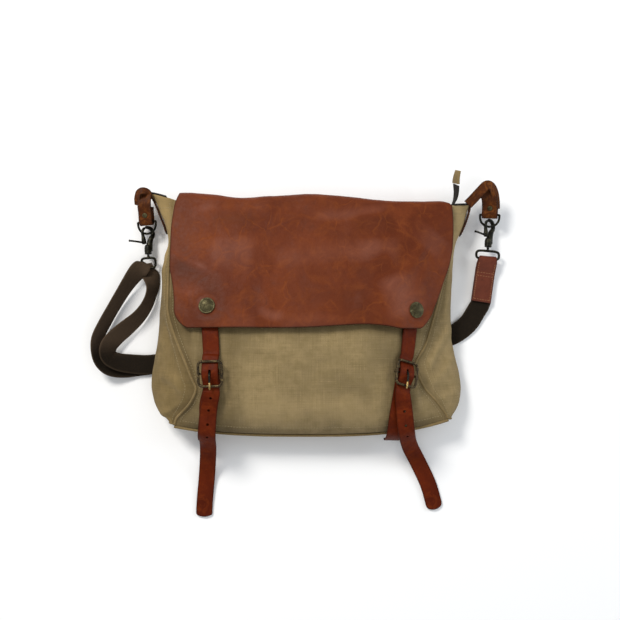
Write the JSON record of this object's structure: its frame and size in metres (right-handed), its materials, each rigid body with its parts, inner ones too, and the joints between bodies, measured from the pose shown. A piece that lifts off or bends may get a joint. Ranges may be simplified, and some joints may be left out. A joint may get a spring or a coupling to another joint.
{
  "type": "messenger bag",
  "caption": "Canvas messenger bag lying on its back: leather flap with press-studs, buckled closure straps, webbing shoulder strap on trigger hooks.",
  "frame": {"origin": "on the flat underside of the back panel, near the middle of the bag", "axes": "+Z out of the front face, +Y toward the top edge, +X to the right as seen from the front"},
  "size_m": [0.5229, 0.4351, 0.0878],
  "materials": {
    "canvas": "matte",
    "lining": "matte",
    "flap_leather": "satin",
    "strap_leather": "satin",
    "tab_leather": "satin",
    "webbing": "matte",
    "antique_bronze": "satin",
    "antique_brass": "satin",
    "zip_metal": "satin",
    "zip_tape": "matte"
  },
  "bodies": {
    "bag": {"front_panel": "canvas", "gusset_left": "canvas", "gusset_right": "canvas", "bottom_gusset": "canvas", "back_panel": "canvas", "lining": "lining", "slip_pocket": "lining", "zip_facing_front": "canvas", "zip_facing_back": "canvas", "zip_tape_front": "zip_tape", "zip_tape_back": "zip_tape", "zip_teeth_front": "zip_metal", "zip_teeth_back": "zip_metal", "zip_stop": "zip_metal", "zip_tail_tape": "zip_tape", "zip_tail_cap": "canvas", "flap_seam_strip": "flap_leather", "snap_stud_left": "antique_brass", "snap_stud_right": "antique_brass", "buckle_bar_left": "antique_bronze", "closure_strap_left": "strap_leather", "anchor_strap_left": "strap_leather", "buckle_bar_right": "antique_bronze", "closure_strap_right": "strap_leather", "anchor_strap_right": "strap_leather", "side_tab_left": "tab_leather", "tab_strip_left": "tab_leather", "tab_rivet_left": "antique_brass", "swivel_eye_left": "antique_bronze", "side_tab_right": "tab_leather", "tab_strip_right": "tab_leather", "tab_rivet_right": "antique_brass", "swivel_eye_right": "antique_bronze", "strap_end_tab": "strap_leather", "shoulder_webbing": "webbing", "webbing_return": "webbing", "strap_slider": "antique_bronze"},
    "flap_crown": {"flap_crown": "flap_leather"},
    "flap_front": {"flap_front": "flap_leather", "snap_cap_left": "antique_brass", "snap_cap_right": "antique_brass", "snap_socket_left": "antique_brass", "snap_socket_right": "antique_brass"},
    "zip_slider": {"zip_slider": "zip_metal"},
    "zip_pull": {"zip_pull": "zip_metal"},
    "buckle_frame_left": {"buckle_frame_left": "antique_bronze"},
    "buckle_prong_left": {"buckle_prong_left": "antique_bronze"},
    "closure_tail_left": {"closure_tail_left": "strap_leather"},
    "d_ring_left": {"d_ring_left": "antique_bronze"},
    "hook_body_left": {"hook_body_left": "antique_bronze"},
    "hook_gate_left": {"hook_gate_left": "antique_bronze"},
    "buckle_frame_right": {"buckle_frame_right": "antique_bronze"},
    "buckle_prong_right": {"buckle_prong_right": "antique_bronze"},
    "closure_tail_right": {"closure_tail_right": "strap_leather"},
    "d_ring_right": {"d_ring_right": "antique_bronze"},
    "hook_body_right": {"hook_body_right": "antique_bronze"},
    "hook_gate_right": {"hook_gate_right": "antique_bronze"}
  },
  "joints": [
    {"name": "flap_lift", "type": "hinge", "parent": "bag", "child": "flap_crown", "pos_m": [0, 0.1396, 0.003], "axis": [-1, 0, 0], "range_deg": [0, 85]},
    {"name": "flap_fold", "type": "hinge", "parent": "flap_crown", "child": "flap_front", "pos_m": [0, 0.1302, 0.052], "axis": [-1, 0, 0], "range_deg": [0, 85]},
    {"name": "zip_slide", "type": "slide", "parent": "bag", "child": "zip_slider", "axis": [1, 0, 0], "range_m": [0, 0.27]},
    {"name": "zip_pull_swing", "type": "hinge", "parent": "zip_slider", "child": "zip_pull", "pos_m": [-0.138, 0.1185, 0.024], "axis": [0, 0, 1], "range_deg": [0, 50]},
    {"name": "buckle_frame_left_rock", "type": "hinge", "parent": "bag", "child": "buckle_frame_left", "pos_m": [-0.11633, -0.08338, 0.07922], "axis": [0.9912, 0.0173, 0.1311], "range_deg": [-1.2, 2.5]},
    {"name": "buckle_prong_left_lift", "type": "hinge", "parent": "bag", "child": "buckle_prong_left", "pos_m": [-0.11633, -0.08338, 0.07922], "axis": [-0.9912, -0.0173, -0.1311], "range_deg": [0, 25]},
    {"name": "closure_tail_left_lift", "type": "hinge", "parent": "bag", "child": "closure_tail_left", "pos_m": [-0.11575, -0.10361, 0.07755], "axis": [-0.9912, -0.0173, -0.1311], "range_deg": [0, 40]},
    {"name": "d_ring_left_swing", "type": "hinge", "parent": "bag", "child": "d_ring_left", "pos_m": [-0.20808, 0.11506, 0.0188], "axis": [0.969, 0.0508, 0.2419], "range_deg": [-5, 5]},
    {"name": "hook_left_swivel", "type": "hinge", "parent": "bag", "child": "hook_body_left", "pos_m": [-0.20654, 0.07753, 0.0125], "axis": [-0.0523, 0.9986, 0], "range_deg": [-8, 8]},
    {"name": "hook_gate_left_open", "type": "hinge", "parent": "hook_body_left", "child": "hook_gate_left", "pos_m": [-0.21169, 0.08798, 0.01636], "axis": [0.6419, 0.0336, 0.766], "range_deg": [0, 20], "stiffness_Nm_per_rad": 0.05, "springref_deg": -17.19},
    {"name": "buckle_frame_right_rock", "type": "hinge", "parent": "bag", "child": "buckle_frame_right", "pos_m": [0.11779, -0.08312, 0.06486], "axis": [0.8691, -0.2167, -0.4447], "range_deg": [-1.2, 2.5]},
    {"name": "buckle_prong_right_lift", "type": "hinge", "parent": "bag", "child": "buckle_prong_right", "pos_m": [0.11779, -0.08312, 0.06486], "axis": [-0.8691, 0.2167, 0.4447], "range_deg": [0, 25]},
    {"name": "closure_tail_right_lift", "type": "hinge", "parent": "bag", "child": "closure_tail_right", "pos_m": [0.11518, -0.10276, 0.06932], "axis": [-0.8691, 0.2167, 0.4447], "range_deg": [0, 40]},
    {"name": "d_ring_right_swing", "type": "hinge", "parent": "bag", "child": "d_ring_right", "pos_m": [0.23444, 0.12406, 0.0198], "axis": [0.9666, -0.0846, 0.2419], "range_deg": [-5, 5]},
    {"name": "hook_right_swivel", "type": "hinge", "parent": "bag", "child": "hook_body_right", "pos_m": [0.23271, 0.08659, 0.0135], "axis": [0.0872, 0.9962, 0], "range_deg": [-8, 8]},
    {"name": "hook_gate_right_open", "type": "hinge", "parent": "hook_body_right", "child": "hook_gate_right", "pos_m": [0.22906, 0.09765, 0.01736], "axis": [0.6403, -0.056, 0.766], "range_deg": [0, 20], "stiffness_Nm_per_rad": 0.05, "springref_deg": -17.19}
  ],
  "couplings": [
    {"joint": "flap_fold", "follows": "flap_lift", "ratio": 1}
  ]
}
